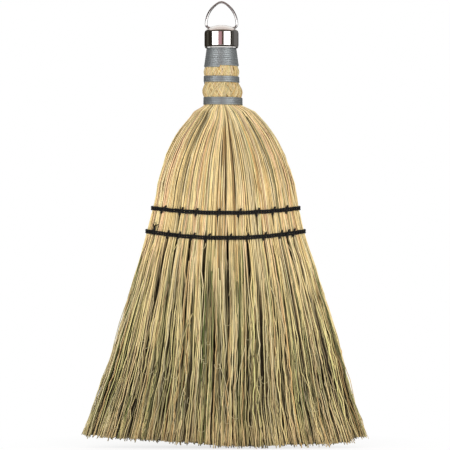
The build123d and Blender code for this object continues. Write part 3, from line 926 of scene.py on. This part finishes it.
def handle_centre(height):
    """The handle leans from the neck's middle to its own over the lower bulge."""
    lean = np.clip((height - lower_band[1].z) / (middle_band[0].z - lower_band[1].z), 0, 1)
    return neck_middle + (handle_middle - neck_middle) * lean


def bulge(foot, top, foot_radius, radius, top_radius, peak_share, height):
    """Radius of a swelling between two bands at a height."""
    t = np.clip((height - foot) / (top - foot), 0, 1)
    return through((1, peak_share, 0), (top_radius, radius, foot_radius), t)


def ring_way(angle):
    """Directions straight out from the handle's middle line."""
    return xyz(np.cos(angle), np.sin(angle), 0)


def handle_line(height):
    """Points of the handle's middle line."""
    return xyz(handle_centre(height), 0, height)


bulges = (
    # foot and top, radius at the foot, greatest, at the top, where it is greatest, slant in degrees
    (lower_band[1].z, 249.0 * MM, 12.4 * MM, 13.5 * MM, 11.1 * MM, 0.42, -24, 8),
    (253.4 * MM, 260.4 * MM, 11.2 * MM, 11.9 * MM, 10.9 * MM, 0.4, -14, 10),
)
stalk_layers = (
    # stalks, how far they stand out in millimetres, slant as a share, and lightness
    (112, -0.4, 1, 0.75), (104, -0.2, 1, 0.75), (36, 0, -1.2, 0.71),
)
stalk_tints = linear(
    (246, 222, 164), (242, 214, 152), (236, 204, 142), (244, 214, 168), (222, 182, 112), (240, 222, 166)
)
parts = []
for foot, top, *shape, slant, slant_spread in bulges:
    for count, out, turned_share, lightness in stalk_layers:
        turn = np.linspace(0, 2 * math.pi, count, endpoint=False) + rng.normal(0, 0.03, count)
        lean = np.radians(slant * turned_share + rng.normal(0, slant_spread, count))
        height = np.linspace(foot - tuck, top + tuck, stalk_rod.spans + 1)[:, None] + np.zeros(count)
        radius = bulge(foot, top, *shape, height) + (out + rng.uniform(-0.1, 0.1, count)) * MM
        way = ring_way(turn + np.tan(lean) * (height - (foot + top) / 2) / radius)
        tint = stalk_tints[rng.integers(len(stalk_tints), size=count)]
        tint = tint * rng.normal(lightness, 0.07, count)[:, None]
        widths = np.broadcast_to(stalk_width * rng.uniform(0.6, 1.15, count), height.shape)
        tints = np.broadcast_to(tint, (*height.shape, 3))
        parts.append((way * radius[..., None] + handle_line(height), way, widths, tints))
lines, out, widths, tints = (np.concatenate(values, axis=1) for values in zip(*parts))
made = bundle("handle_stalk_straws", stalk_rod, lines, out, widths, stalk_depth, tints)
stalk_straw = straw_finish("stalk_straw_finish")
dress(made, stalk_straw, replaces="handle_stalks")

# %% Core of the handle
core_foot = 236 * MM
core_top = cap_box[0].z + 8 * MM
core_cuts = 40
core_tint = linear((196, 156, 96))[0]
core_shape = np.array([
    # height from the top down, and the radius there
    (core_top, 8.6 * MM),
    (cap_box[0].z, 8.6 * MM),
    (upper_wrap[0].z, 10.0 * MM),
    (middle_band[1].z + 3 * MM, 11.0 * MM),
    (middle_band[1].z, 10.9 * MM),
    (middle_band[0].z, 10.9 * MM),
    (lower_band[1].z + 5 * MM, 12.6 * MM),
    (lower_band[1].z, 11.6 * MM),
    (core_foot, 11.6 * MM),
])
deselect()
bpy.ops.mesh.primitive_cylinder_add(
    vertices=48, radius=10 * MM, depth=core_top - core_foot, location=(0, 0, (core_foot + core_top) / 2)
)
core = bpy.context.object
core.name = "handle_core"
cut_across(core_foot + (core_top - core_foot) * cut / core_cuts for cut in range(1, core_cuts))
select_only(core)
bpy.ops.object.transform_apply(location=True, rotation=True, scale=True)
core_heights = np.array([[vertex.co.z for vertex in core.data.vertices]])
core_radius = through(core_shape[:, 0], core_shape[:, 1], core_heights)[0]
for vertex, radius in zip(core.data.vertices, core_radius):
    flat = Vector((vertex.co.x, vertex.co.y, 0)).normalized() * radius
    vertex.co.x = flat.x + float(handle_centre(vertex.co.z))
    vertex.co.y = flat.y
core.data.shade_smooth()
core_tints = core.data.color_attributes.new(name="straw_colour", type="FLOAT_COLOR", domain="POINT")
core_tints.data.foreach_set("color", np.tile((*core_tint, 1), len(core.data.vertices)))
dress(core, stalk_straw)
print("handle_core faces", len(core.data.polygons))

# %% [markdown]
# ## Galvanised wire
# The binding wire is wound tight, each turn against the last. It is one rod bent along a helix, so
# its turns slope as real ones do and their ends tuck in. Zinc is a dull, slightly mottled metal.

# %% Wire bands
# The wire is wider than a turn's rise, so that the turns meet.
wire_width = 1.8 * MM
wire_depth = 1.0 * MM
wire_sides = 10
steps_per_turn = 56


def coil(name, node, foot, rise, turns, foot_radius, top_radius, start_angle):
    """A wire wound clockwise up the handle, from its foot at the start angle."""
    spans = math.ceil(turns * steps_per_turn)
    t = np.linspace(0, 1, spans + 1)[:, None]
    height = foot + wire_width / 2 + t * turns * rise
    radius = foot_radius + (top_radius - foot_radius) * t - wire_depth / 2
    way = ring_way(math.radians(start_angle) - t * turns * 2 * math.pi)
    lines = way * radius[..., None] + handle_line(height)
    made = bundle(name, Rod(wire_sides, spans), lines, way, wire_width, wire_depth)
    return dress(made, zinc, replaces=node)


wire = Finish("galvanised_wire_finish")
spangle = wire.noise((60, 60, 900))
drawn = wire.noise((30, 30, 700))
zinc = wire.surface(
    Base_Color=wire.ramp(spangle, (0.3, rgba(163, 169, 171)), (0.7, rgba(180, 186, 188))),
    Metallic=0.8,
    Roughness=drawn * 0.05 + 0.42,
)
lower_foot = lower_band[0].z - 0.15 * MM
coil("lower_wire_turns", "lower_wire_band", lower_foot, 1.18 * MM, 3.7, 13.5 * MM, 13.4 * MM, 20)
coil("middle_wire_turns", "middle_wire_band", 248.3 * MM, 1.27 * MM, 3.2, 12.3 * MM, 12.2 * MM, 170)
coil("upper_wire_turns", "upper_wire_wrap", 259.3 * MM, 1.27 * MM, 11.4, 11.95 * MM, 9.95 * MM, -96)

# %% [markdown]
# ## Waxed black twine
# Two plies are twisted together. Each ply is a rod bent along a helix round the twine's own line,
# laid twice round the brush at each row. Short slanting stitches hold it down, and the first one of
# the lower row ends in a frayed tail.

# %% Twine
twine_width = 1.64 * MM
ply_width = 1.02 * MM
ply_sides = 6
lay_length = 3.6 * MM
twine_step = 0.42 * MM
twine_lift = 0.55 * MM
turn_lift = 0.72 * MM
ripple, ripples, ripple_shift = 0.1 * MM, 23, 9000
stitch_foot, stitch_rise = -2.6 * MM, 5.2 * MM
stitch_bow, stitch_dip = 1.15 * MM, 1.4 * MM


def read_at(places, vectors, at):
    """Vectors known at rising places, read at other places."""
    return np.stack([np.interp(at, places, vectors[:, axis]) for axis in range(3)], axis=-1)


def resampled(points, step):
    """Points at even steps along a line of straight runs, and how far along it they lie."""
    walked = walk(points)
    at = np.linspace(0, walked[-1], max(4, math.ceil(walked[-1] / step)) + 1)
    return read_at(walked, points, at), at


def plies(points, outward):
    """Middle lines of the two plies twisted along one line of twine, and their outward directions."""
    line, walked = resampled(points, twine_step)
    out = unit(read_at(walk(points), np.broadcast_to(outward, points.shape), walked))
    along = unit(np.gradient(line, axis=0))
    side = unit(np.cross(along, out))
    out = np.cross(side, along)
    twist = (walked / lay_length * 2 * math.pi)[:, None] + (0, math.pi)
    swing = side[:, None] * np.cos(twist)[..., None] + out[:, None] * np.sin(twist)[..., None]
    return line[:, None] + swing * (twine_width - ply_width) / 2, swing


def row_line(row, sag, lift):
    """One turn of twine round the brush at a sewn row, sagging in the middle."""
    turn = np.linspace(math.pi, 3 * math.pi, 241)
    power, wide, deep, row_middle = at_one_height(row, squareness, half_width, half_depth, middle)
    x, y = around(turn, power)
    wide, deep = wide + twine_lift, deep + twine_lift
    height = row - sag * (1 - x**2) + lift + ripple * np.sin(turn * ripples + lift * ripple_shift)
    return xyz(row_middle + x * wide, y * deep, height), unit(xyz(x / wide, y / deep, 0))


def row_face(share):
    """Depth of the brush's face at a sewn row, as a share of its half depth."""
    return (1 - np.abs(share) ** 3) ** (1 / 3)


def stitch_line(share, slant, row, sag, side):
    """One stitch: out of the brush below the band, up over it at a slant, and in again above."""
    wide, deep, row_middle = at_one_height(row, half_width, half_depth, middle)
    t = np.linspace(0, 1, 17)
    across = share * wide - 0.3 * MM * side + slant * side * t
    bow = twine_lift + stitch_bow * np.sin(math.pi * np.clip(t * 1.3 - 0.15, 0, 1))
    depth = deep * row_face(across / wide) + bow - stitch_dip * np.abs(2 * t - 1) ** 6
    height = row - sag * (1 - (across / wide) ** 2) + stitch_foot + stitch_rise * t
    return xyz(across + row_middle, -side * depth, height), (0, -side, 0)


def joined_twine(name, lengths, node):
    """One object from several lengths of twine, each of two twisted plies."""
    objects = []
    for number, (points, out) in enumerate(lengths):
        lines, outward = plies(points, out)
        rod = Rod(ply_sides, len(lines) - 1)
        objects.append(bundle(f"{name}_{number}", rod, lines, outward, ply_width, ply_width))
    select_only(*objects)
    bpy.ops.object.join()
    objects[0].name = name
    return dress(objects[0], black_twine, replaces=node)


def tail_line(foot, lean):
    """A short end of twine standing up from the band."""
    heights = np.linspace(-1.5, 4.2, 12) * MM
    return xyz(foot[0] + lean * heights, foot[1] - 0.9 * MM, foot[2] + heights), to_front


def frayed_fibres(tip, count, reach):
    """Middle lines of thin fibres that spread and curl from the tip of the tail."""
    t = np.linspace(0, 1, 9)[:, None]
    turn = rng.uniform(-1.35, 1.35, count)
    bend = rng.normal(0, 0.9, count)
    length = rng.uniform(0.5, 1.0, count) * reach
    angle = turn * (0.35 + 0.65 * t) + bend * t**2
    x = tip[0] + rng.normal(0, 0.2 * MM, count) + np.sin(angle) * length * t
    z = tip[2] - 0.5 * MM + np.cos(angle) * length * t
    y = tip[1] + rng.normal(0, 0.2 * MM, count) - 0.4 * MM * t
    return xyz(x, y, z)


twine = Finish("black_twine_finish")
grain = twine.noise((1800, 1800, 1800), detail=3.0)
black_twine = twine.surface(
    Base_Color=twine.ramp(grain, (0.35, rgba(6, 6, 5)), (0.75, rgba(25, 23, 21))),
    Roughness=grain * 0.3 + 0.42,
    Normal=twine.bump(grain, 0.1 * MM, 0.5),
)
upper_slants = np.array((3.4, 2.7, 1.6, 1.7, 1.9, 2.1, 2.0, 1.2)) * MM
lower_slants = np.array((1.6, 1.8, 2.2, 3.2, 3.6, 3.0, 1.6, 2.3, 2.0, 1.5, 1.4)) * MM
rows = (
    # name, height, sag in the middle, where the stitches are and how far each slants
    ("upper", upper_row, 3.4 * MM, upper_stitches, upper_slants),
    ("lower", lower_row, 4.6 * MM, lower_stitches, lower_slants),
)
for name, row, sag, shares, slants in rows:
    turns = [row_line(row, sag, lift) for lift in (turn_lift, -turn_lift)]
    joined_twine(name + "_twine_turns", turns, name + "_twine_band")
    sewn = [
        stitch_line(share, slant, row, sag, side)
        for share, slant in zip(shares, slants) for side in (1, -1)
    ]
    if name == "lower":
        level = row - sag * (1 - shares[0] ** 2)
        sewn[0] = tail_line((shares[0] * row_wide, -row_deep * row_face(shares[0]), level), 0.22)
        tip = sewn[0][0][-1]
    joined_twine(name + "_twine_stitches", sewn, name + "_stitches")

fibre_count = 14
fibre_width = 0.26 * MM
fibres = frayed_fibres(tip, fibre_count, 3.6 * MM)
frayed = bundle("frayed_twine_end", Rod(3, 8), fibres, to_front, fibre_width, fibre_width)
dress(frayed, black_twine)

# %% [markdown]
# ## The cap and its hanger
# The cap is drawn from thin sheet, so it is turned: a circle is extruded and resized from ring to
# ring, from the rolled lip over the wall and the shoulder to the low crown, and Solidify gives it its
# wall. Two cones cut the slots that the hanger's ends go into. The hanger is one wire bent in a
# pointed arch: straight runs and arcs that meet without a kink.

# %% Bright metal
def bright_metal(name, colour, roughness):
    made = Finish(name)
    smudges = made.noise((240, 240, 240), detail=3.0)
    scratches = made.noise((60, 60, 1500))
    return made.surface(
        Base_Color=colour,
        Metallic=1.0,
        Roughness=smudges * 0.06 + roughness,
        Normal=made.bump(scratches, 0.02 * MM, 0.06),
    )


nickel = bright_metal("bright_nickel", rgba(232, 230, 226), 0.05)
steel = bright_metal("bright_steel", rgba(216, 215, 214), 0.12)

# %% Cap
cap_base = cap_box[0].z
hinge = frame["joints"][0]["pos_m"]
cap_wall = 0.45 * MM
slot_radii = (0.95 * MM, 4.0 * MM)
slot_reach = (5.8 * MM, 12.2 * MM)


def turned(name, centre, rings, sides=96):
    """A turned shell: a circle extruded and resized from ring to ring, each a radius and a height."""
    deselect()
    radius, height = rings[0]
    bpy.ops.mesh.primitive_circle_add(vertices=sides, radius=radius, location=(centre, 0, height))
    made = bpy.context.object
    made.name = name
    bpy.ops.object.transform_apply(location=True, rotation=True, scale=True)
    bpy.ops.object.mode_set(mode="EDIT")
    bpy.ops.mesh.select_all(action="SELECT")
    for (radius, height), (next_radius, next_height) in zip(rings, rings[1:]):
        bpy.ops.mesh.extrude_edges_move(TRANSFORM_OT_translate={"value": (0, 0, next_height - height)})
        share = next_radius / radius
        bpy.ops.transform.resize(value=(share, share, 1), center_override=(centre, 0, next_height))
    bpy.ops.mesh.merge(type="CENTER")
    bpy.ops.mesh.select_all(action="SELECT")
    bpy.ops.mesh.normals_make_consistent(inside=False)
    bpy.ops.object.mode_set(mode="OBJECT")
    return made


crown_top = 16.05
crown_radius = 19.15
lip_rings = [
    # radius, and height above the CAD cap's foot: the lip, the crease over it, the flare and the wall
    (10.7, 0.6), (10.72, 0.36), (10.82, 0.24), (10.96, 0.25), (11.42, 0.84), (11.38, 0.93), (11.32, 1.0),
    (11.38, 1.15), (11.5, 1.5), (11.6, 2.0), (11.64, 2.6), (11.65, 3.2), (11.65, 10.2),
]
shoulder_rings = [
    (9.05 + 2.6 * math.cos(math.radians(turn)), 10.95 + 2.45 * math.sin(math.radians(turn)))
    for turn in range(0, 60, 8)
]
crown_rings = [
    (radius, crown_top - crown_radius + math.sqrt(crown_radius**2 - radius**2))
    for radius in (10.1, 9.6, 9.0, 8.2, 7.2, 6.0, 4.6, 3.0, 1.2)
]
cap_rings = lip_rings + shoulder_rings + crown_rings
cap_rings = [(radius * MM, cap_base + rise * MM) for radius, rise in cap_rings]
cap = turned("cap_shell", handle_middle, cap_rings)
wall = cap.modifiers.new("wall", "SOLIDIFY")
wall.thickness = cap_wall
wall.offset = -1
bpy.ops.object.modifier_apply(modifier="wall")
print("cap width in mm", round(cap.dimensions.x / MM, 2))

# %% Slots in the cap for the hanger
for way in (-1, 1):
    deselect()
    bpy.ops.mesh.primitive_cone_add(
        vertices=48, radius1=slot_radii[0], radius2=slot_radii[1], depth=slot_reach[1] - slot_reach[0],
        location=(handle_middle + way * sum(slot_reach) / 2, 0, hinge[2]),
        rotation=(0, way * math.pi / 2, 0),
    )
    cutter = bpy.context.object
    select_only(cap)
    slot = cap.modifiers.new("slot", "BOOLEAN")
    slot.object = cutter
    slot.operation = "DIFFERENCE"
    slot.solver = "EXACT"
    bpy.ops.object.modifier_apply(modifier="slot")
    bpy.data.objects.remove(cutter)
bpy.ops.object.shade_smooth_by_angle(angle=math.radians(40))
dress(cap, nickel, replaces="cap")
print("slots cut for the hanger: 2")

# %% Hanger
ring_wire = 1.7 * MM
ring_half_width = 10.5 * MM
broom_height = 305 * MM
ring_rise = broom_height - ring_wire / 2 - hinge[2]
bend_radius = 2.6 * MM
tip_radius = 4.2 * MM
ring_sides = 16


def arc(centre, radius, first, last, count):
    """Points on an arc in the hanger's own plane, angles in degrees."""
    angles = np.radians(np.linspace(first, last, count))
    return [(centre[0] + radius * math.cos(a), centre[1] + radius * math.sin(a)) for a in angles]


leg_run = ring_rise - tip_radius - bend_radius
leg_radius = (ring_half_width**2 + leg_run**2 - tip_radius**2) / (2 * (ring_half_width - tip_radius))
leg_turn = math.degrees(math.atan2(leg_run, leg_radius - ring_half_width))
right_half = [(0, 0)]
right_half += arc((ring_half_width - bend_radius, bend_radius), bend_radius, -90, 0, 10)
right_half += arc((ring_half_width - leg_radius, bend_radius), leg_radius, 0, leg_turn, 22)[1:]
right_half += arc((0, ring_rise - tip_radius), tip_radius, leg_turn, 90, 9)[1:]
left_half = [(-x, z) for x, z in reversed(right_half[:-1])]
hanger_path = np.array(right_half + left_half)
hanger_points = xyz(hanger_path[:, 0] + handle_middle, 0, hanger_path[:, 1] + hinge[2])
hanger_line, _ = resampled(hanger_points, 0.5 * MM)
hanger_rod = Rod(ring_sides, len(hanger_line) - 1)
hanger = bundle("hanger_wire", hanger_rod, hanger_line[:, None], to_front, ring_wire, ring_wire)
dress(hanger, steel, body="hanger", replaces="hanger_ring")
